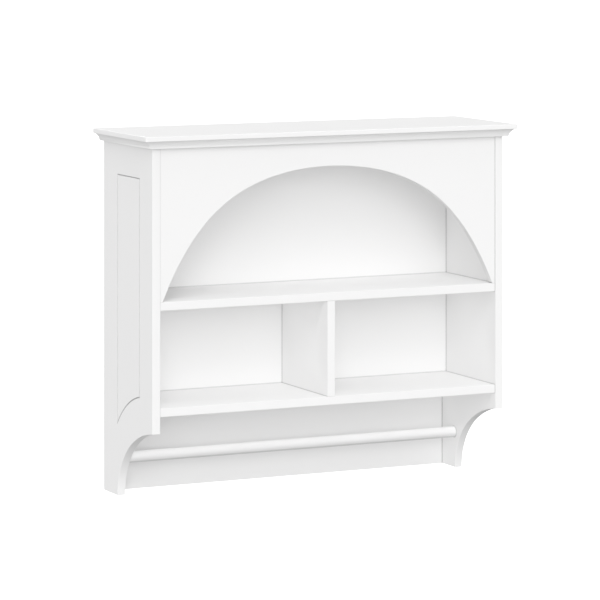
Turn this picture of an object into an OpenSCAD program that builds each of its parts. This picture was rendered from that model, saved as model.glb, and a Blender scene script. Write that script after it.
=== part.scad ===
// Wall-hung shelf unit with an arched front, two cubbies and a towel bar.
// Painted 15 mm boards, joined with cam fittings and dowels, under a thin top
// board with a mitred cove cornice.
// Frame: millimetres, +Z up, +X to the viewer's right, the front faces -Y.
// The wall plane is y = 0, and z = 0 is the bottom of the rear feet.

/* [Carcass] */
// Width over the two side panels
width = 700; // [660:5:740]
// Depth of the side panels from the wall to their front edge
depth = 224; // [214:1:236]
// Height of the side panels
side_height = 646; // [640:1:670]
// Thickness of the sides, shelves, divider, arch and rails
board = 15; // [15:0.5:18]
// How far the shelves, divider and arch sit behind the side fronts
front_recess = 2; // [0:0.5:5]

/* [Shelves] */
// Underside of the lower shelf
lower_shelf_z = 161; // [150:1:175]
// Underside of the middle shelf
middle_shelf_z = 347.5; // [330:0.5:360]
// Sideways position of the divider, from the middle
divider_x = 0; // [-60:1:60]

/* [Arch] */
// Highest point of the arched opening
arch_top_z = 590; // [570:0.5:605]
// Half width of the opening where it meets the middle shelf
arch_half_width = 329.5; // [300:0.5:331]
// Share of the arch's fall that grows with the square of the width: more is rounder
arch_round = 0.495; // [0.4:0.005:0.6]
// Share that grows with the fourth power; the rest grows with the sixth, at the haunches
arch_haunch = 0.305; // [0.2:0.005:0.4]

/* [Side brackets] */
// Depth of the rear foot at the bottom
foot_depth = 66; // [50:1:80]
// Bottom end of the side's straight front edge
bracket_top_z = 131.5; // [110:0.5:145]
// How far the curve's centre stands in front of the side's front edge
bracket_lead = 25; // [0:1:40]
// Straight upright part at the toe of the foot
toe_height = 2; // [0:0.5:10]

/* [Side panel groove] */
// Rear line of the decorative groove, from the wall
groove_rear = 65.5; // [50:0.5:80]
// Front line of the decorative groove, from the wall
groove_front = 166; // [150:0.5:185]
// Top line of the decorative groove
groove_top_z = 575.5; // [540:0.5:600]
// Radius of the groove's curved bottom line
groove_arc_r = 169.5; // [160:0.5:220]
// Height of the curved line's centre
groove_arc_z = 22.3; // [0:0.1:40]
// Width of the V groove at the surface
groove_w = 3; // [2:0.5:4]
// Depth of the V groove
groove_d = 1.6; // [1:0.1:2.5]

/* [Top board and cornice] */
// Thickness of the top board
top_thick = 9; // [9:0.5:15]
// Overhang of the top board past the sides, left, right and front
top_overhang = 21; // [18:0.5:30]
// Radius of the top board's front corners, seen from above
top_corner_r = 3; // [1:0.5:8]
// Height of the cornice moulding
cornice_h = 13.5; // [12:0.5:16]
// Projection of the moulding at its bottom
cornice_out_bottom = 8.3; // [6:0.1:10]
// Projection of the moulding at its top
cornice_out_top = 15.4; // [14:0.1:17]
// Hollow of the cove, measured from its chord
cove_hollow = 1.3; // [0.8:0.1:1.8]

/* [Back] */
// Thickness of the back panel
back_thick = 3; // [3:0.1:3.6]
// Front face of the back panel, from the wall
back_inset = 31; // [28:0.5:36]
// Depth of the groove that holds the back panel
back_groove = 5; // [4:0.5:6]
// Height of the upper hanging rail
hanging_rail_h = 80; // [75:1:90]

/* [Towel bar] */
// Diameter of the towel bar
bar_d = 20; // [16:0.5:24]
// Towel bar centre, from the wall
bar_y = 62; // [55:0.5:66]
// Towel bar centre height
bar_z = 66.5; // [55:0.5:80]
// Depth of the blind sockets in the side panels
socket_depth = 8; // [6:0.5:10]

/* [Wall hangers] */
// Distance between the two keyhole hangers
hanger_spacing = 560; // [480:5:570]

/* [Hidden] */

inner_x = width / 2 - board;          // inner face of the right side panel
front_y = -(depth - front_recess);    // front of shelves, divider and arch
arch_rear_y = front_y + board;
back_y = -back_inset;                 // front face of the back panel
lower_shelf_top = lower_shelf_z + board;
middle_shelf_top = middle_shelf_z + board;

// Clearances
past = 1;             // how far cutters run past a face
gap = 0.05;           // radial play around fixed hardware
end_play = 0.3;       // play at the end of hardware in its hole
bar_gap = 0.08;       // running play around the towel bar
back_play = 0.1;      // play at each face of the back panel
back_edge_play = 0.2; // play at its side and bottom edges

// Cam fittings
cam_r = 7.45;
cam_bore_r = 7.55;
cam_back = 24;                // cam centre, from the board's end
cam_deep = board / 2 + 4.7;
bolt_bore_r = 4;
bolt_thread_r = 2.5;
bolt_thread_l = 11;

// Dowels
dowel_r = 4;
dowel_side = 10;              // length inside the side panel or middle shelf
dowel_board = 19.7;           // length inside the other board
dowel_end_play = 0.4;         // play at that board's end of the hole

// Cam fittings at one end: [y, z, opening], the face that the cam's mouth is in
underside = 0;
rear_face = 1;
function shelf_cams(shelf_z) = [for (y = [-190, -88]) [y, shelf_z + board / 2, underside]];
arch_cams = [for (drop = [36, 126]) [front_y + board / 2, side_height - drop, rear_face]];
upper_rail_cams = [[-board / 2, side_height - 40, rear_face]];
lower_rail_cams = [[-board / 2, 110, rear_face]];
capped_cams = concat(shelf_cams(lower_shelf_z), shelf_cams(middle_shelf_z), arch_cams);
all_cams = concat(capped_cams, upper_rail_cams, lower_rail_cams);

// Dowels at one end: [y, z]
function shelf_dowels(shelf_z) = [[-140, shelf_z + board / 2]];
arch_dowels = [[front_y + board / 2, side_height - 81]];
upper_rail_dowels = [[-board / 2, side_height - 62]];
lower_rail_dowels = [[-board / 2, 45]];
all_dowels = concat(shelf_dowels(lower_shelf_z), shelf_dowels(middle_shelf_z),
  arch_dowels, upper_rail_dowels, lower_rail_dowels);

// Dowels and screws at the divider's two ends
divider_ys = [-180, -75];

// Wood screws: [shank radius, head radius, length]
batten_screw = [1.75, 3.4, 22];
hanger_screw = [1.5, 3, 12];
screw_head_edge = 0.4;        // straight rim of the head, above the countersink

module painted() { color([0.95, 0.95, 0.94]) children(); }
module zinc() { color([0.72, 0.73, 0.75]) children(); }
module beech() { color([0.82, 0.68, 0.48]) children(); }

// The children at the right end, and mirrored at the left
module both() {
  children();
  mirror([1, 0, 0]) children();
}

// A cylinder along +X from the present origin
module rod_x(r, l) { rotate([0, 90, 0]) cylinder(r = r, h = l, $fn = 48); }

// Moves to a fitting's place, inset from the right side panel's inner face
module at_end(place, inset = 0) {
  translate([inner_x - inset, place[0], place[1]]) children();
}

// Moves a cam's own frame (+Z out of its mouth) to its place at the right end
module at_cam(place) {
  at_end(place, cam_back)
    rotate(place[2] == underside ? [180, 0, 0] : [-90, 0, 0]) children();
}

// Space for cams and their bolts in a board's two ends
module cam_cuts(cams) {
  both() for (place = cams) {
    at_cam(place) translate([0, 0, board / 2 - cam_deep])
      cylinder(r = cam_bore_r, h = cam_deep + past, $fn = 64);
    at_end(place, cam_back) rod_x(bolt_bore_r, cam_back + past);
  }
}

// Dowel holes in a board's two ends
module dowel_cuts(dowels) {
  both() for (place = dowels)
    at_end(place, dowel_board + dowel_end_play)
      rod_x(dowel_r + gap, dowel_board + 2 * past);
}

// Cutter for a crossed slot in a head, from floor_z up
module cross_slot(length, slot_width, floor_z, height) {
  for (angle = [0, 90]) rotate([0, 0, angle])
    translate([-length / 2, -slot_width / 2, floor_z]) cube([length, slot_width, height]);
}

// A countersunk wood screw that points along -Z, with its head's face at z = 0
module screw(size) {
  shank_r = size[0];
  head_r = size[1];
  length = size[2];
  difference() {
    rotate_extrude($fn = 48) polygon([[0, 0], [head_r, 0], [head_r, -screw_head_edge],
      [shank_r, -screw_head_edge - (head_r - shank_r)], [shank_r, -length + 3],
      [0.4, -length], [0, -length]]);
    cross_slot(length = head_r * 1.1, slot_width = 0.8, floor_z = -1.4, height = 2);
  }
}

// The hole that takes such a screw
module screw_cut(size) {
  shank_r = size[0];
  head_r = size[1];
  bottom = -size[2] - end_play;
  rim = -screw_head_edge - gap;
  rotate_extrude($fn = 48) polygon([[0, past], [head_r + gap, past], [head_r + gap, rim],
    [shank_r + gap, rim - (head_r - shank_r)], [shank_r + gap, bottom], [0, bottom]]);
}

// ---- side panels ----

// Half axes of the elliptical bracket curve, and the angle at its upper end
bracket_half_y = depth + bracket_lead - foot_depth;
bracket_half_z = (bracket_top_z - toe_height) / sqrt(1 - pow(bracket_lead / bracket_half_y, 2));
bracket_angle = asin((bracket_top_z - toe_height) / bracket_half_z);
bracket_steps = 40;

// Side view of a side panel, x = y of the frame and y = z of the frame
module side_outline() {
  polygon(concat(
    [[0, 0], [0, side_height], [-depth, side_height]],
    [for (k = [0 : bracket_steps])
      let (angle = bracket_angle * (1 - k / bracket_steps))
      [-(depth + bracket_lead) + bracket_half_y * cos(angle),
        toe_height + bracket_half_z * sin(angle)]],
    [[-foot_depth, 0]]));
}

// The groove's curved line: its rise over its centre at the front line
groove_front_rise = 166.9;
groove_arc_y = -groove_front - sqrt(pow(groove_arc_r, 2) - pow(groove_front_rise, 2));
function groove_low_z(y) =
  groove_arc_z + sqrt(pow(groove_arc_r, 2) - pow(y - groove_arc_y, 2));

// V cutter, which starts a little outside the face
vee_lead = 0.5;
vee_half = groove_w / 2 * (1 + vee_lead / groove_d);
// The curved line is cut a touch deeper than the straight ones
arc_cutter_h = groove_d + 0.06 + vee_lead;
cone_overlap = 0.01;

module vee_section() {
  polygon([[-vee_lead, -vee_half], [groove_d, 0], [-vee_lead, vee_half]]);
}

// The whole V groove on the left panel's outer face. Each line runs a little
// past the corner, as a V cutter does.
module side_groove() {
  groove_span = groove_front - groove_rear + 2 * past;
  translate([-width / 2, 0, 0]) {
    // rear and front upright lines
    for (y = [-groove_rear, -groove_front])
      translate([0, y, groove_low_z(y) - past])
        linear_extrude(groove_top_z - groove_low_z(y) + 2 * past) vee_section();
    // top line
    translate([0, -groove_rear + past, groove_top_z]) rotate([90, 0, 0])
      linear_extrude(groove_span) vee_section();
    // curved bottom line: a ring between two cones, kept between the upright lines
    intersection() {
      translate([0, groove_arc_y, groove_arc_z]) rotate([0, 90, 0])
        translate([0, 0, -vee_lead]) difference() {
          cylinder(r1 = groove_arc_r + vee_half, r2 = groove_arc_r, h = arc_cutter_h,
            $fn = 180);
          translate([0, 0, -cone_overlap])
            cylinder(r1 = groove_arc_r - vee_half - cone_overlap * vee_half / arc_cutter_h,
              r2 = groove_arc_r, h = arc_cutter_h + cone_overlap, $fn = 180);
        }
      translate([-2, -groove_front - past, groove_arc_z + 20])
        cube([10, groove_span, groove_arc_r]);
    }
  }
}

module left_side_panel() {
  painted() difference() {
    translate([-width / 2, 0, 0]) rotate([90, 0, 90]) linear_extrude(board) side_outline();
    side_groove();
    // groove for the back panel
    translate([-inner_x - back_groove - back_edge_play, back_y - back_play,
      lower_shelf_top - back_groove])
      cube([back_groove + past, back_thick + 2 * back_play, side_height]);
    // socket for the towel bar
    translate([-inner_x - socket_depth, -bar_y, bar_z])
      rod_x(bar_d / 2 + bar_gap, socket_depth + past);
    // cam bolts, dowels and batten screws
    mirror([1, 0, 0]) {
      for (place = all_cams) at_end(place, past)
        rod_x(bolt_thread_r + gap, bolt_thread_l + past + end_play);
      for (place = all_dowels) at_end(place, past)
        rod_x(dowel_r + gap, dowel_side + past + end_play);
      batten_screw_cuts();
    }
  }
}

module right_side_panel() { mirror([1, 0, 0]) left_side_panel(); }

// ---- top battens, one under the top board at each side ----

batten = 15;                  // height and width of the section
batten_inset = 2;             // space at each end
batten_rear_y = back_y - batten_inset;
batten_front_y = arch_rear_y + batten_inset;

// Places of the four screws in the right batten, heads at the batten's faces
module at_batten_screws() {
  // into the side panel
  for (y = [-70, -170]) translate([inner_x - batten, y, side_height - batten / 2])
    rotate([0, -90, 0]) children();
  // up into the top board
  for (y = [-98, -142]) translate([inner_x - batten / 2, y, side_height - batten])
    rotate([180, 0, 0]) children();
}

module batten_screw_cuts() { at_batten_screws() screw_cut(batten_screw); }

module right_top_batten() {
  painted() difference() {
    translate([inner_x - batten, batten_front_y, side_height - batten])
      cube([batten, batten_rear_y - batten_front_y, batten]);
    batten_screw_cuts();
  }
}

module left_top_batten() { mirror([1, 0, 0]) right_top_batten(); }

module batten_screws() { zinc() both() at_batten_screws() screw(batten_screw); }

// ---- top board and cornice ----

cornice_z = side_height - cornice_h;
cornice_lip = 1.2;            // upright edge below and above the cove
mitre_reach = 30;             // reach of the mitre planes past the sides
brad_r = 0.7;
brad_l = 19;
brad_out = 4.2;               // brad centre, from the side panel's face or front

module top_board() {
  half_width = width / 2 + top_overhang;
  full_depth = depth + top_overhang;
  corner_x = half_width - top_corner_r;
  corner_y = -full_depth + top_corner_r;
  painted() difference() {
    translate([0, 0, side_height]) linear_extrude(top_thick) {
      translate([-half_width, corner_y]) square([2 * half_width, full_depth - top_corner_r]);
      translate([-corner_x, -full_depth]) square([2 * corner_x, 2 * top_corner_r]);
      for (side = [-1, 1]) translate([side * corner_x, corner_y])
        circle(r = top_corner_r, $fn = 48);
    }
    both() batten_screw_cuts();
    brad_cuts();
  }
}

// Section of the cornice: x is outwards from the face, y is up
module cornice_section() {
  cove_low = [cornice_out_bottom, cornice_lip];
  cove_high = [cornice_out_top, cornice_h - cornice_lip];
  rise = cove_high - cove_low;
  chord = norm(rise);
  outward = [rise[1], -rise[0]] / chord;
  cove_r = (chord * chord / 4 + cove_hollow * cove_hollow) / (2 * cove_hollow);
  cove_centre = (cove_low + cove_high) / 2 + outward * (cove_r - cove_hollow);
  difference() {
    polygon([[0, 0], [cornice_out_bottom, 0], cove_low, cove_high,
      [cornice_out_top, cornice_h], [0, cornice_h]]);
    translate(cove_centre) circle(r = cove_r, $fn = 180);
  }
}

// Cuts the child, a run of moulding, to an outline seen from above
module mitred(plan) {
  painted() difference() {
    intersection() {
      children();
      translate([0, 0, cornice_z - 5]) linear_extrude(cornice_h + 10) polygon(plan);
    }
    brad_cuts();
  }
}

module front_cornice() {
  mitred([[-width / 2, -depth], [width / 2, -depth],
    [width / 2 + mitre_reach, -depth - mitre_reach],
    [-width / 2 - mitre_reach, -depth - mitre_reach]])
    translate([-width / 2 - mitre_reach, -depth, cornice_z]) rotate([90, 0, 90])
      linear_extrude(width + 2 * mitre_reach) mirror([1, 0]) cornice_section();
}

module left_cornice() {
  mitred([[-width / 2, past], [-width / 2 - mitre_reach, past],
    [-width / 2 - mitre_reach, -depth - mitre_reach], [-width / 2, -depth]])
    translate([-width / 2, 0, cornice_z]) rotate([90, 0, 0])
      linear_extrude(depth + mitre_reach) mirror([1, 0]) cornice_section();
}

module right_cornice() { mirror([1, 0, 0]) left_cornice(); }

// Headless brads that pin the cornice to the top board
module at_brads() {
  for (x = [-300, -150, 0, 150, 300]) translate([x, -depth - brad_out, cornice_z]) children();
  both() for (y = [-25, -112, -200])
    translate([width / 2 + brad_out, y, cornice_z]) children();
}

module brad_cuts() {
  at_brads() cylinder(r = brad_r + gap, h = brad_l + end_play, $fn = 24);
}

module cornice_brads() { zinc() at_brads() cylinder(r = brad_r, h = brad_l, $fn = 24); }

// ---- arch panel ----

arch_steps = 96;
arch_fall = arch_top_z - middle_shelf_top;
function arch_z(x) = let (share = abs(x) / arch_half_width)
  arch_top_z - arch_fall * (arch_round * pow(share, 2) + arch_haunch * pow(share, 4) +
    (1 - arch_round - arch_haunch) * pow(share, 6));

module arch_panel() {
  painted() difference() {
    translate([0, arch_rear_y, 0]) rotate([90, 0, 0]) linear_extrude(board) polygon(concat(
      [[inner_x, middle_shelf_top], [inner_x, side_height],
        [-inner_x, side_height], [-inner_x, middle_shelf_top]],
      // the two end points lie exactly on the shelf
      [for (k = [0 : arch_steps])
        let (x = arch_half_width * sin(90 * (2 * k / arch_steps - 1)))
        [x, abs(x) >= arch_half_width - 0.001 ? middle_shelf_top : arch_z(x)]]));
    cam_cuts(arch_cams);
    dowel_cuts(arch_dowels);
  }
}

// ---- shelves and divider ----

module middle_shelf() {
  painted() difference() {
    translate([-inner_x, front_y, middle_shelf_z])
      cube([2 * inner_x, back_y - front_y, board]);
    cam_cuts(shelf_cams(middle_shelf_z));
    dowel_cuts(shelf_dowels(middle_shelf_z));
    for (y = divider_ys) translate([divider_x, y, middle_shelf_z - past])
      cylinder(r = dowel_r + gap, h = dowel_side + past + end_play, $fn = 48);
    nail_cuts();
  }
}

module lower_shelf() {
  painted() difference() {
    translate([-inner_x, front_y, lower_shelf_z]) cube([2 * inner_x, -front_y, board]);
    cam_cuts(shelf_cams(lower_shelf_z));
    dowel_cuts(shelf_dowels(lower_shelf_z));
    // groove for the back panel
    translate([-inner_x - past, back_y - back_play, lower_shelf_top - back_groove])
      cube([2 * (inner_x + past), back_thick + 2 * back_play, back_groove + past]);
    divider_screw_cuts();
  }
}

module centre_divider() {
  painted() difference() {
    translate([divider_x - board / 2, front_y, lower_shelf_top])
      cube([board, back_y - front_y, middle_shelf_z - lower_shelf_top]);
    for (y = divider_ys)
      translate([divider_x, y, middle_shelf_z - dowel_board - dowel_end_play])
        cylinder(r = dowel_r + gap, h = dowel_board + past, $fn = 48);
    divider_screw_cuts();
    nail_cuts();
  }
}

// Two stepped screws from under the lower shelf into the divider
stepped_head_r = 5;
stepped_head_edge = 0.5;      // straight rim of the head
stepped_cone_end = 2.9;       // depth where the countersink meets the shank
stepped_shank_r = 3.5;        // inside the shelf
stepped_thread_r = 2.5;       // inside the divider
stepped_l = 50;

module at_divider_screws() {
  for (y = divider_ys) translate([divider_x, y, lower_shelf_z])
    rotate([180, 0, 0]) children();
}

module divider_screw_cuts() {
  head_r = stepped_head_r + gap;
  shank_r = stepped_shank_r + gap;
  thread_r = stepped_thread_r + gap;
  step = -board - end_play;
  bottom = -stepped_l - 0.4;
  at_divider_screws() rotate_extrude($fn = 48) polygon([[0, past], [head_r, past],
    [head_r, -stepped_head_edge - gap], [shank_r, -stepped_cone_end - 0.15],
    [shank_r, step], [thread_r, step], [thread_r, bottom], [0, bottom]]);
}

module divider_screws() {
  zinc() at_divider_screws() difference() {
    rotate_extrude($fn = 48) polygon([[0, 0], [stepped_head_r, 0],
      [stepped_head_r, -stepped_head_edge], [stepped_shank_r, -stepped_cone_end],
      [stepped_shank_r, -board + 1], [stepped_thread_r, -board],
      [stepped_thread_r, -stepped_l + 2.5], [0.8, -stepped_l], [0, -stepped_l]]);
    // hexagon socket
    translate([0, 0, -3]) cylinder(r = 2.3, h = 4, $fn = 6);
  }
}

// ---- back ----

nail_r = 0.8;
nail_l = 20;
nail_head_r = 2;
nail_head_h = 0.8;

module back_panel() {
  bottom_z = lower_shelf_top - back_groove + back_edge_play;
  painted() difference() {
    translate([-inner_x - back_groove, back_y, bottom_z])
      cube([2 * (inner_x + back_groove), back_thick, side_height - bottom_z]);
    nail_cuts();
  }
}

// Nails into the rear edges of the middle shelf and the divider
module at_nails() {
  rear_y = back_y + back_thick;
  for (x = [-250, -125, 125, 250]) translate([x, rear_y, middle_shelf_z + board / 2])
    rotate([-90, 0, 0]) children();
  for (z = [lower_shelf_top + 45, middle_shelf_z - 45]) translate([divider_x, rear_y, z])
    rotate([-90, 0, 0]) children();
}

module nail_cuts() {
  at_nails() translate([0, 0, -nail_l - end_play])
    cylinder(r = nail_r + gap, h = nail_l + past, $fn = 24);
}

module back_panel_nails() {
  zinc() at_nails() rotate_extrude($fn = 24) polygon([[0, nail_head_h],
    [nail_head_r, nail_head_h], [nail_head_r, 0], [nail_r, 0],
    [nail_r, -nail_l + 1.2], [0.2, -nail_l], [0, -nail_l]]);
}

module lower_back_rail() {
  painted() difference() {
    translate([-inner_x, -board, 0]) cube([2 * inner_x, board, lower_shelf_z]);
    cam_cuts(lower_rail_cams);
    dowel_cuts(lower_rail_dowels);
  }
}

// ---- upper hanging rail and its keyhole hangers ----

hanger_z = side_height - 40;  // middle of a hanger plate
plate_size = [22, 50];        // in x and z
plate_thick = 1.5;
keyhole_half = 6;             // entry and slot end, below and above the middle
hanger_screw_half = 20;       // screws, below and above the middle

// Hanger plate, grown by play all round, from y = front to y = front - thick
module plate(play, front, thick) {
  translate([0, front, 0]) rotate([90, 0, 0]) linear_extrude(thick)
    square([plate_size[0] + 2 * play, plate_size[1] + 2 * play], center = true);
}

// Cutter for a round entry with an upward slot, sunk from the wall plane
module keyhole(entry_r, slot_r, slot_sides, deep) {
  translate([0, past, -keyhole_half]) rotate([90, 0, 0])
    cylinder(r = entry_r, h = deep + past, $fn = 64);
  translate([-slot_r, -deep, -keyhole_half]) cube([2 * slot_r, deep + past, 2 * keyhole_half]);
  translate([0, past, keyhole_half]) rotate([90, 0, 0])
    cylinder(r = slot_r, h = deep + past, $fn = slot_sides);
}

module at_hangers() {
  for (side = [-1, 1]) translate([side * hanger_spacing / 2, 0, hanger_z]) children();
}

module at_hanger_screws() {
  at_hangers() for (z = [-hanger_screw_half, hanger_screw_half])
    translate([0, 0, z]) rotate([-90, 0, 0]) children();
}

module upper_hanging_rail() {
  painted() difference() {
    translate([-inner_x, -board, side_height - hanging_rail_h])
      cube([2 * inner_x, board, hanging_rail_h]);
    cam_cuts(upper_rail_cams);
    dowel_cuts(upper_rail_dowels);
    at_hangers() {
      // seat of the plate
      plate(play = 0.2, front = past, thick = plate_thick + past);
      // room for the wall screw's head behind the keyhole
      keyhole(entry_r = 6.5, slot_r = 6.5, slot_sides = 64, deep = 10);
    }
    at_hanger_screws() screw_cut(hanger_screw);
  }
}

module keyhole_hangers() {
  zinc() difference() {
    at_hangers() plate(play = 0, front = 0, thick = plate_thick);
    at_hangers() keyhole(entry_r = 4.5, slot_r = 2.3, slot_sides = 48, deep = 3);
    at_hanger_screws() screw_cut(hanger_screw);
  }
}

module keyhole_hanger_screws() { zinc() at_hanger_screws() screw(hanger_screw); }

// ---- towel bar ----

module towel_bar() {
  half_l = inner_x + socket_depth - end_play;
  bar_r = bar_d / 2;
  chamfer = 1;
  painted() translate([0, -bar_y, bar_z]) rotate([0, 90, 0])
    rotate_extrude($fn = 96) polygon([[0, -half_l], [bar_r - chamfer, -half_l],
      [bar_r, -half_l + chamfer], [bar_r, half_l - chamfer],
      [bar_r - chamfer, half_l], [0, half_l]]);
}

// ---- cam fittings, caps and dowels ----

module cam_locks() {
  zinc() both() for (place = all_cams) difference() {
    at_cam(place) translate([0, 0, board / 2 - cam_deep + 0.1])
      cylinder(r = cam_r, h = cam_deep - 0.3, $fn = 64);
    // cross slot in the face
    at_cam(place)
      cross_slot(length = 8, slot_width = 1.2, floor_z = board / 2 - 2.2, height = 3);
    // pocket for the bolt's head, and its neck
    at_end(place, cam_back + 3.6) rod_x(3.8, 6.8);
    at_end(place, cam_back) rod_x(2.6, 9);
  }
}

// Half section of a cam bolt: [radius, distance into the side panel]
bolt_profile = [
  [0, -27], [2.4, -27], [3.4, -26], [3.4, -23.2],       // head, inside the cam
  [2.2, -22], [2.2, -1.6],                              // neck
  [3.4, -1.6], [3.4, 0],                                // collar
  [bolt_thread_r, 0], [bolt_thread_r, bolt_thread_l - 1],
  [1.6, bolt_thread_l], [0, bolt_thread_l]];

module cam_bolts() {
  zinc() both() for (place = all_cams) at_end(place) rotate([0, 90, 0])
    rotate_extrude($fn = 48) polygon(bolt_profile);
}

module cam_cover_caps() {
  cap_r = 9;
  cap_h = 1;
  chamfer = 0.5;
  color([0.94, 0.94, 0.93]) both() for (place = capped_cams)
    at_cam(place) translate([0, 0, board / 2]) rotate_extrude($fn = 64)
      polygon([[0, 0], [cap_r, 0], [cap_r, cap_h - chamfer], [cap_r - chamfer, cap_h],
        [0, cap_h]]);
}

// A dowel with chamfered ends; z = 0 is the plane between the two boards
module dowel() {
  chamfer = 1;
  rotate_extrude($fn = 48) polygon([[0, -dowel_board], [dowel_r - chamfer, -dowel_board],
    [dowel_r, -dowel_board + chamfer], [dowel_r, dowel_side - chamfer],
    [dowel_r - chamfer, dowel_side], [0, dowel_side]]);
}

module wood_dowels() {
  beech() {
    both() for (place = all_dowels) at_end(place) rotate([0, 90, 0]) dowel();
    for (y = divider_ys) translate([divider_x, y, middle_shelf_z]) dowel();
  }
}

left_side_panel();
right_side_panel();
top_board();
front_cornice();
left_cornice();
right_cornice();
arch_panel();
middle_shelf();
lower_shelf();
centre_divider();
back_panel();
upper_hanging_rail();
lower_back_rail();
towel_bar();
left_top_batten();
right_top_batten();
cam_locks();
cam_bolts();
cam_cover_caps();
wood_dowels();
batten_screws();
divider_screws();
back_panel_nails();
cornice_brads();
keyhole_hangers();
keyhole_hanger_screws();
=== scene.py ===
# Looks for the wall shelf with towel bar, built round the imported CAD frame.
import math

import bpy
import numpy as np
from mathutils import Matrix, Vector


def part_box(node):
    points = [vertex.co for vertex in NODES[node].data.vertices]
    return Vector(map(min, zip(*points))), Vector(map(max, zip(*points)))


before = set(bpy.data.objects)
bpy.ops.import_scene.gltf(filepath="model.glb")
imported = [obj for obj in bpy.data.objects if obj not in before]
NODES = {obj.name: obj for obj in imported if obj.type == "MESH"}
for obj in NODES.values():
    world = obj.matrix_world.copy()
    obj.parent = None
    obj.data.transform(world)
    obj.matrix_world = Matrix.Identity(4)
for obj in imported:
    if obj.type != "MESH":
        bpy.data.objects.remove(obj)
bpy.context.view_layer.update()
scene = bpy.context.scene


# ---------------------------------------------------------------- materials

def new_material(name):
    m = bpy.data.materials.new(name)
    m.use_nodes = True
    t = m.node_tree
    t.nodes.clear()
    out = t.nodes.new("ShaderNodeOutputMaterial")
    p = t.nodes.new("ShaderNodeBsdfPrincipled")
    t.links.new(p.outputs["BSDF"], out.inputs["Surface"])
    return m, t, p


def node(t, kind, **values):
    n = t.nodes.new(kind)
    for key, value in values.items():
        if key in n.inputs:
            n.inputs[key].default_value = value
        else:
            setattr(n, key, value)
    return n


def noise(t, vector, scale, detail=3.0, rough=0.5):
    n = node(t, "ShaderNodeTexNoise", Scale=scale, Detail=detail, Roughness=rough)
    t.links.new(vector, n.inputs["Vector"])
    return n.outputs["Fac"]


def span(t, value, lo, hi, first=0.0, last=1.0):
    n = node(t, "ShaderNodeMapRange")
    n.inputs["From Min"].default_value = first
    n.inputs["From Max"].default_value = last
    n.inputs["To Min"].default_value = lo
    n.inputs["To Max"].default_value = hi
    t.links.new(value, n.inputs["Value"])
    return n.outputs["Result"]


def coords(t, stretch=None):
    """Object coordinates in metres, moved by a different amount for each piece."""
    where = node(t, "ShaderNodeTexCoord")
    info = node(t, "ShaderNodeObjectInfo")
    shift = node(t, "ShaderNodeVectorMath", operation="MULTIPLY_ADD")
    t.links.new(info.outputs["Random"], shift.inputs[0])
    shift.inputs[1].default_value = (7.0, 11.0, 13.0)
    t.links.new(where.outputs["Object"], shift.inputs[2])
    if stretch is None:
        return shift.outputs[0]
    scale = node(t, "ShaderNodeVectorMath", operation="MULTIPLY")
    t.links.new(shift.outputs[0], scale.inputs[0])
    scale.inputs[1].default_value = stretch
    return scale.outputs[0]


def ramp(t, value, stops):
    n = node(t, "ShaderNodeValToRGB")
    e = n.color_ramp.elements
    while len(e) < len(stops):
        e.new(0.5)
    for k, (pos, colour) in enumerate(stops):
        e[k].position = pos
        e[k].color = (*colour, 1)
    t.links.new(value, n.inputs["Fac"])
    return n.outputs["Color"]


def bump(t, p, layers):
    """layers: (height, distance in metres, strength), chained."""
    last = None
    for height, distance, strength in layers:
        b = node(t, "ShaderNodeBump", Strength=strength, Distance=distance)
        t.links.new(height, b.inputs["Height"])
        if last is not None:
            t.links.new(last, b.inputs["Normal"])
        last = b.outputs["Normal"]
    t.links.new(last, p.inputs["Normal"])


def times(t, a, b):
    n = node(t, "ShaderNodeMath", operation="MULTIPLY")
    t.links.new(a, n.inputs[0])
    t.links.new(b, n.inputs[1])
    return n.outputs[0]


def painted_crease_shade(t, reach, deepest):
    """Painted shade from ambient occlusion within reach: 1 on open faces, down to deepest in joints and corners."""
    ao = node(t, "ShaderNodeAmbientOcclusion", Distance=reach, samples=8)
    return span(t, ao.outputs["AO"], deepest, 1.0, 0.25, 0.94)


def painted_facing_shade(t, deepest, first, last):
    """Painted shade by facing: 1 where the normal's height is at least last, down to deepest where it falls to first.
    """
    xyz = node(t, "ShaderNodeSeparateXYZ")
    t.links.new(node(t, "ShaderNodeNewGeometry").outputs["Normal"], xyz.inputs[0])
    return span(t, xyz.outputs["Z"], deepest, 1.0, first, last)


def painted_groove_shade(t, shade):
    """Painted shade inside the V line cut in a side panel's outer face, 1 elsewhere."""
    where = node(t, "ShaderNodeTexCoord")
    xyz = node(t, "ShaderNodeSeparateXYZ")
    t.links.new(where.outputs["Object"], xyz.inputs[0])
    inside = None
    depth = node(t, "ShaderNodeMath", operation="ABSOLUTE")
    t.links.new(xyz.outputs["X"], depth.inputs[0])
    for value, lo, hi in ((depth.outputs[0], 0.3470, 0.34985), (xyz.outputs["Y"], -0.175, -0.055),
                          (xyz.outputs["Z"], 0.115, 0.582)):
        for op, limit in (("GREATER_THAN", lo), ("LESS_THAN", hi)):
            n = node(t, "ShaderNodeMath", operation=op)
            t.links.new(value, n.inputs[0])
            n.inputs[1].default_value = limit
            inside = n.outputs[0] if inside is None else times(t, inside, n.outputs[0])
    return span(t, inside, 1.0, shade)


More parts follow.
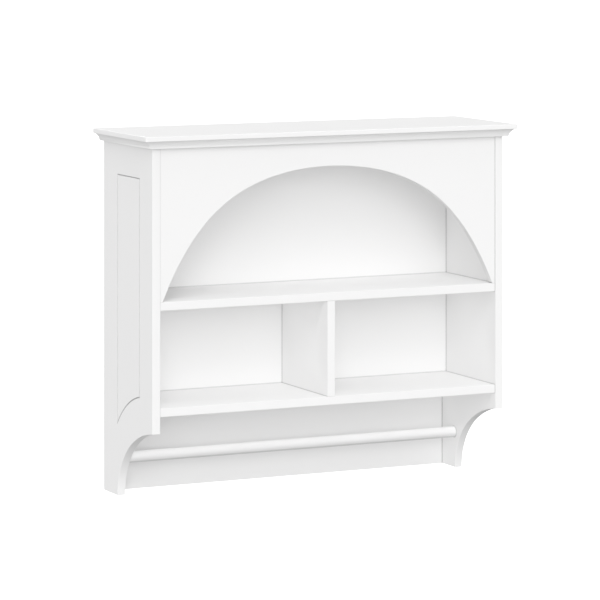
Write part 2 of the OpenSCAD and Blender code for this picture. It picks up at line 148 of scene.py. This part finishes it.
def paint(name, albedo, rough, peel, warm=0.0, line=None, gloss=0.0, below=None):
    """White satin sprayed paint: faint cloudy tone, fine orange peel, uneven sheen, painted shade in joints and
    corners, and, where asked, painted shade on faces by which way they turn.
    """
    m, t, p = new_material(name)
    v = coords(t)
    # tone: slow clouds with a little fine mottling
    cloud = span(t, noise(t, v, 9.0, 2.0), -0.006, 0.006)
    fine = span(t, noise(t, v, 180.0, 2.0), -0.004, 0.004)
    tone = node(t, "ShaderNodeMath", operation="ADD")
    t.links.new(cloud, tone.inputs[0])
    t.links.new(fine, tone.inputs[1])
    colour = node(t, "ShaderNodeCombineColor")
    for k, base in enumerate((albedo, albedo * (1 - 0.5 * warm), albedo * (1 - warm))):
        add = node(t, "ShaderNodeMath", operation="ADD")
        add.inputs[0].default_value = base
        t.links.new(tone.outputs[0], add.inputs[1])
        t.links.new(add.outputs[0], colour.inputs[k])
    # painted shade: darker in joints and corners, and, with below, on faces turned down or aside; with line, in the
    # side panel's V line
    shade = painted_crease_shade(t, 0.003, 0.12)
    if below is not None:
        shade = times(t, shade, painted_facing_shade(t, *below))
    if line is not None:
        shade = times(t, shade, painted_groove_shade(t, line))
    shaded = node(t, "ShaderNodeVectorMath", operation="SCALE")
    t.links.new(colour.outputs[0], shaded.inputs[0])
    t.links.new(shade, shaded.inputs["Scale"])
    t.links.new(shaded.outputs[0], p.inputs["Base Color"])
    # sheen: a sprayed film levels unevenly
    t.links.new(span(t, noise(t, v, 26.0, 3.0), rough - 0.05, rough + 0.06), p.inputs["Roughness"])
    p.inputs["IOR"].default_value = 1.5
    p.inputs["Specular IOR Level"].default_value = 0.4
    p.inputs["Coat Weight"].default_value = gloss
    p.inputs["Coat Roughness"].default_value = 0.22
    # orange peel in two sizes
    bump(t, p, [(noise(t, v, 420.0, 2.0), 0.00005, peel), (noise(t, v, 60.0, 1.0), 0.00012, peel)])
    return m


def zinc(name):
    """Bright zinc plate on pressed and cast steel: blue-grey bloom, fine grain, uneven polish."""
    m, t, p = new_material(name)
    v = coords(t)
    bloom = noise(t, v, 240.0, 3.0, 0.6)
    t.links.new(ramp(t, bloom, [(0.25, (0.50, 0.52, 0.55)), (0.5, (0.62, 0.63, 0.64)),
                                (0.75, (0.70, 0.69, 0.65))]), p.inputs["Base Color"])
    p.inputs["Metallic"].default_value = 1.0
    t.links.new(span(t, noise(t, v, 700.0, 3.0), 0.24, 0.42), p.inputs["Roughness"])
    bump(t, p, [(noise(t, v, 2200.0, 2.0), 0.00002, 0.35),
                (noise(t, v, 300.0, 2.0), 0.00004, 0.3)])
    return m


def beech(name):
    """Bare turned beech: pale pinkish brown, long grain with short dark flecks."""
    m, t, p = new_material(name)
    v = coords(t, (60.0, 320.0, 320.0))
    grain = noise(t, v, 1.6, 4.0, 0.6)
    fleck = noise(t, coords(t, (220.0, 1500.0, 1500.0)), 1.0, 2.0)
    base = ramp(t, grain, [(0.3, (0.50, 0.31, 0.17)), (0.55, (0.66, 0.45, 0.27)),
                           (0.8, (0.74, 0.54, 0.35))])
    dark = node(t, "ShaderNodeMix", data_type="RGBA", blend_type="MULTIPLY")
    dark.inputs[0].default_value = 0.5
    t.links.new(base, dark.inputs["A"])
    t.links.new(ramp(t, fleck, [(0.36, (0.55, 0.42, 0.33)), (0.44, (1, 1, 1))]), dark.inputs["B"])
    t.links.new(dark.outputs["Result"], p.inputs["Base Color"])
    t.links.new(span(t, grain, 0.55, 0.75), p.inputs["Roughness"])
    bump(t, p, [(grain, 0.0001, 0.5)])
    return m


def plastic(name):
    """Moulded white plastic cap with a fine spark-eroded grain."""
    m, t, p = new_material(name)
    v = coords(t)
    tint = noise(t, v, 40.0, 2.0)
    t.links.new(ramp(t, tint, [(0.2, (0.70, 0.70, 0.69)), (0.8, (0.76, 0.76, 0.75))]),
                p.inputs["Base Color"])
    t.links.new(span(t, noise(t, v, 900.0, 2.0), 0.34, 0.48), p.inputs["Roughness"])
    p.inputs["Subsurface Weight"].default_value = 0.04
    p.inputs["Subsurface Radius"].default_value = (0.002, 0.002, 0.002)
    bump(t, p, [(noise(t, v, 2600.0, 2.0), 0.00003, 0.5)])
    return m


WHITE = paint("white_satin_paint", 0.84, 0.42, 0.3, 0.004)
# Side panels: painted shade on faces that look down, such as the brackets' undersides, and in the V line.
WHITE_SIDE = paint("white_satin_side_paint", 0.84, 0.42, 0.3, 0.004, 0.5,
                   below=(0.85, -0.8, -0.1))
# Arch panel: painted shade on the arch's cut edge where it faces down.
WHITE_ARCH = paint("white_satin_arch_paint", 0.84, 0.42, 0.3, 0.004, below=(0.72, -0.5, -0.1))
# Shelves: painted light, with the upward faces a lighter white (0.93) than the fronts and edges, which are brought
# back to 0.84.
WHITE_SHELF_LIT_TOPS = paint("white_satin_shelf_paint_lit_tops", 0.93, 0.42, 0.3, 0.004, below=(0.903, 0.3, 0.7))
WHITE_BACK = paint("white_painted_thin_board", 0.84, 0.50, 0.25, 0.004)
# Towel bar: painted shade on its underside, down to half the white.
WHITE_BAR = paint("white_painted_bar", 0.97, 0.30, 0.3, 0.004, gloss=1.0,
                  below=(0.5, -0.95, -0.5))
ZINC = zinc("zinc_plated_steel")
BEECH = beech("bare_beech_wood")
CAP = plastic("white_cap_plastic")


def place(names, material):
    for n in names:
        o = NODES[n]
        o.data.materials.clear()
        o.data.materials.append(material)


BOARDS = ["left_side_panel", "right_side_panel", "top_board", "front_cornice",
          "left_cornice", "right_cornice", "arch_panel", "middle_shelf", "lower_shelf",
          "centre_divider", "upper_hanging_rail", "lower_back_rail",
          "left_top_batten", "right_top_batten"]
place(BOARDS, WHITE)
place(["left_side_panel", "right_side_panel"], WHITE_SIDE)
place(["arch_panel"], WHITE_ARCH)
place(["middle_shelf", "lower_shelf"], WHITE_SHELF_LIT_TOPS)
place(["back_panel"], WHITE_BACK)
place(["towel_bar"], WHITE_BAR)
place(["cam_locks", "cam_bolts", "batten_screws", "divider_screws", "back_panel_nails",
       "cornice_brads", "keyhole_hangers", "keyhole_hanger_screws"], ZINC)
place(["wood_dowels"], BEECH)
place(["cam_cover_caps"], CAP)


# ---------------------------------------------------------------- eased arrises

def turns(me):
    """Edges of the mesh welded by place: {(a, b): (turn in degrees, convex)}, the points, and each vertex's point."""
    co = np.empty(len(me.vertices) * 3)
    me.vertices.foreach_get("co", co)
    co = co.reshape(-1, 3)
    _, first, back = np.unique(np.round(co, 6), axis=0, return_index=True, return_inverse=True)
    back = back.ravel()
    faces = {}
    for p in me.polygons:
        vs = [int(back[i]) for i in p.vertices]
        for a, b in zip(vs, vs[1:] + vs[:1]):
            faces.setdefault((min(a, b), max(a, b)), []).append((np.array(p.normal), np.array(p.center)))
    out = {}
    for k, fs in faces.items():
        if len(fs) == 2:
            turn = math.degrees(math.acos(max(-1.0, min(1.0, float(fs[0][0] @ fs[1][0])))))
            out[k] = (turn, float((fs[1][1] - fs[0][1]) @ fs[0][0]) < 0)
    return out, co[first], back


def chains(keys):
    """The connected groups of these edges' points."""
    link = {}
    for a, b in keys:
        link.setdefault(a, []).append(b)
        link.setdefault(b, []).append(a)
    group, count = {}, 0
    for s in sorted(link):
        if s in group:
            continue
        todo, group[s] = [s], count
        while todo:
            for t in link[todo.pop()]:
                if t not in group:
                    group[t] = count
                    todo.append(t)
        count += 1
    return group, count


def ease(name, size, rule=None, segments=2):
    """Rounds a board's outer arrises by size, in metres. rule(p, q, size) may change the size of one edge.
    Bore rims, pockets and inner corners stay sharp."""
    o = NODES[name]
    me = o.data
    edges, pts, back = turns(me)
    sharp = {k: v for k, v in edges.items() if v[0] > 25}
    group, count = chains(sharp)
    member = [[] for _ in range(count)]
    for v, g in group.items():
        member[g].append(v)
    outline = {g for g in range(count) if max(np.ptp(pts[member[g]], axis=0)) > 0.06}
    sizes = {}
    for (a, b), (turn, convex) in sharp.items():
        if group[a] in outline and convex:
            s = rule(pts[a], pts[b], size) if rule else size
            if s > 0:
                sizes[(a, b)] = s
    most = max(sizes.values())
    weight = np.zeros(len(me.edges), np.float32)
    hard = np.zeros(len(me.edges), bool)
    for i, e in enumerate(me.edges):
        a, b = (int(back[v]) for v in e.vertices)
        k = (min(a, b), max(a, b))
        if k in sizes:
            weight[i] = sizes[k] / most
        elif k in sharp:
            hard[i] = True
    at = me.attributes.get("bevel_weight_edge") or me.attributes.new("bevel_weight_edge", "FLOAT", "EDGE")
    at.data.foreach_set("value", weight)
    at = me.attributes.get("sharp_edge") or me.attributes.new("sharp_edge", "BOOLEAN", "EDGE")
    at.data.foreach_set("value", hard)
    weld = o.modifiers.new("weld", "WELD")
    weld.merge_threshold = 0.000002
    flat = o.modifiers.new("flat_faces", "DECIMATE")
    flat.decimate_type = "DISSOLVE"
    flat.angle_limit = math.radians(0.3)
    flat.delimit = {"SHARP"}
    b = o.modifiers.new("eased_arris", "BEVEL")
    b.limit_method = "WEIGHT"
    b.offset_type = "OFFSET"
    b.width = most
    b.segments = segments
    b.profile = 0.5
    b.use_clamp_overlap = False
    b.loop_slide = False
    b.miter_outer = "MITER_SHARP"
    n = o.modifiers.new("flat_normals", "WEIGHTED_NORMAL")
    n.keep_sharp = True
    n.weight = 100
    for p in me.polygons:
        p.use_smooth = True


R = 0.0007
TOP_LO, TOP_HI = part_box("top_board")
ARCH_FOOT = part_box("arch_panel")[0][2]
ARCH_TIP = 0.318


def side_rule(p, q, size):
    """The sunk line on the outer face is a crisp V, so only the board's own edges are eased."""
    x = max(abs(p[0]), abs(q[0]))
    z_lo, z_hi = min(p[2], q[2]), max(p[2], q[2])
    y_lo, y_hi = min(p[1], q[1]), max(p[1], q[1])
    if x > 0.3482 and y_lo > -0.18 and y_hi < -0.05 and z_lo > 0.1 and z_hi < 0.58:
        return 0.0
    return size


def top_rule(p, q, size):
    """The top board's front and side edges are rounded over; its back edges are only broken."""
    if min(p[1], q[1]) > TOP_HI[1] - 0.0001:
        return 0.0005
    return size


def cornice_rule(p, q, size):
    """The mitred ends close tight, so they stay sharp."""
    mitre = p[0] * q[0] > 0 and all(
        abs((abs(v[0]) - 0.35) + (v[1] + 0.224)) < 0.0002 and v[1] < -0.2238 for v in (p, q))
    return 0.0 if mitre else size


def arch_rule(p, q, size):
    """The arch's feet run out to a thin point, so they are eased less."""
    tip = all(abs(v[0]) > ARCH_TIP and v[2] < ARCH_FOOT + 0.03 for v in (p, q))
    return 0.0002 if tip else size


ease("left_side_panel", R, side_rule)
ease("right_side_panel", R, side_rule)
ease("top_board", 0.0012, top_rule, 3)
for n in ("front_cornice", "left_cornice", "right_cornice"):
    ease(n, 0.0003, cornice_rule)
ease("arch_panel", R, arch_rule)
for n in ("middle_shelf", "lower_shelf", "centre_divider", "upper_hanging_rail",
          "lower_back_rail", "left_top_batten", "right_top_batten"):
    ease(n, R)

# ---------------------------------------------------------------- stage

bpy.ops.mesh.primitive_plane_add(size=400, location=(0, 60, -0.9))
floor = bpy.context.object
floor.name = "floor"
fm, ft, fp = new_material("floor_white")
fp.inputs["Base Color"].default_value = (0.95, 0.95, 0.95, 1)
fp.inputs["Roughness"].default_value = 0.9
fp.inputs["Specular IOR Level"].default_value = 0.0
fp.inputs["Emission Color"].default_value = (1, 1, 1, 1)
fp.inputs["Emission Strength"].default_value = 1.0
floor.data.materials.append(fm)
# The floor is a white sweep far below: it is seen, but it throws no light or shade on the object.
floor.visible_diffuse = False
floor.visible_glossy = False
floor.visible_transmission = False
floor.visible_shadow = False

# Soft boxes far off, as suns with a wide disc: azimuth (0 in front, minus to the left),
# elevation, disc width in degrees, and brightness.
LIGHTS = [
    (-100, -15, 24, 0.1681), (-60, -15, 24, 0.1575), (10, -15, 24, 0.0053), (-12, 5, 24, 0.0955),
    (6, 5, 24, 0.0704), (30, 5, 24, 0.0259), (-110, 22, 24, 0.1377), (-22, 14, 24, 0.305),
    (-20, 25, 12, 0.0346), (-38, 38, 24, 0.0879), (-20, 38, 24, 0.312), (-30, 54, 24, 0.0726),
    (60, 72, 24, 0.1472), (0, 72, 24, 0.1034), (180, 30, 24, 0.32), (115, 20, 24, 0.42),
]
# The shelf above would shade the towel bar, so the bar has a small light of its own,
# and the lights from below, which fill under the shelves, pass it by.
BAR_LIGHT = 0.38
bar_only = bpy.data.collections.new("bar_only")
bar_only.objects.link(NODES["towel_bar"])
all_but_bar = bpy.data.collections.new("all_but_bar")
all_but_bar.objects.link(NODES["towel_bar"])
all_but_bar.collection_objects[0].light_linking.link_state = "EXCLUDE"


def soft_box(name, az, el, disc, power):
    lamp = bpy.data.lights.new(name, "SUN")
    lamp.energy = math.pi * power
    lamp.angle = math.radians(disc)
    o = bpy.data.objects.new(name, lamp)
    scene.collection.objects.link(o)
    a, e = math.radians(az), math.radians(el)
    towards = Vector((math.sin(a) * math.cos(e), -math.cos(a) * math.cos(e), math.sin(e)))
    o.rotation_mode = "QUATERNION"
    o.rotation_quaternion = towards.to_track_quat("Z", "Y")
    return o


for i, (az, el, disc, power) in enumerate(LIGHTS):
    o = soft_box("soft_box_%d" % i, az, el, disc, power)
    if el < 0:
        o.light_linking.receiver_collection = all_but_bar
o = soft_box("bar_light", 0, 75, 24, BAR_LIGHT)
o.light_linking.receiver_collection = bar_only
o.light_linking.blocker_collection = bar_only

# The room: white to the camera, a dim even glow on the object.
GLOW = 0.1
world = bpy.data.worlds.new("studio")
scene.world = world
world.use_nodes = True
wt = world.node_tree
wt.nodes.clear()
seen = node(wt, "ShaderNodeBackground", Strength=1.0)
seen.inputs["Color"].default_value = (1, 1, 1, 1)
glow = node(wt, "ShaderNodeBackground", Strength=GLOW)
glow.inputs["Color"].default_value = (1, 1, 1, 1)
path = node(wt, "ShaderNodeLightPath")
either = node(wt, "ShaderNodeMixShader")
wt.links.new(path.outputs["Is Camera Ray"], either.inputs[0])
wt.links.new(glow.outputs[0], either.inputs[1])
wt.links.new(seen.outputs[0], either.inputs[2])
wt.links.new(either.outputs[0], node(wt, "ShaderNodeOutputWorld").inputs["Surface"])

# ---------------------------------------------------------------- camera

CAM = (-2.73547, -5.80359, 1.11124)
cam_data = bpy.data.cameras.new("camera")
cam = bpy.data.objects.new("camera", cam_data)
scene.collection.objects.link(cam)
scene.camera = cam
cam.location = CAM
cam.rotation_euler = (math.radians(90), 0, math.radians(-25.5907))
cam_data.sensor_fit = "HORIZONTAL"
cam_data.sensor_width = 36
cam_data.lens = 3462.06 / 600 * 36
cam_data.clip_start = 0.1
cam_data.clip_end = 500
# The lens is shifted down only while the camera stands at this spot, so that a camera
# moved elsewhere looks straight at the object.
shift = cam_data.driver_add("shift_y")
for m in list(shift.modifiers):
    shift.modifiers.remove(m)
shift.driver.type = "AVERAGE"
var = shift.driver.variables.new()
var.name = "x"
var.type = "TRANSFORMS"
var.targets[0].id = cam
var.targets[0].transform_type = "LOC_X"
var.targets[0].transform_space = "WORLD_SPACE"
shift.keyframe_points.add(4)
for k, (off, amount) in zip(shift.keyframe_points,
                            ((-0.06, 0.0), (-0.03, -0.70748), (0.03, -0.70748), (0.06, 0.0))):
    k.co = (CAM[0] + off, amount)
    k.interpolation = "LINEAR"
shift.extrapolation = "CONSTANT"
shift.update()

scene.view_settings.view_transform = "Standard"
scene.view_settings.look = "None"
scene.view_settings.gamma = 2.0
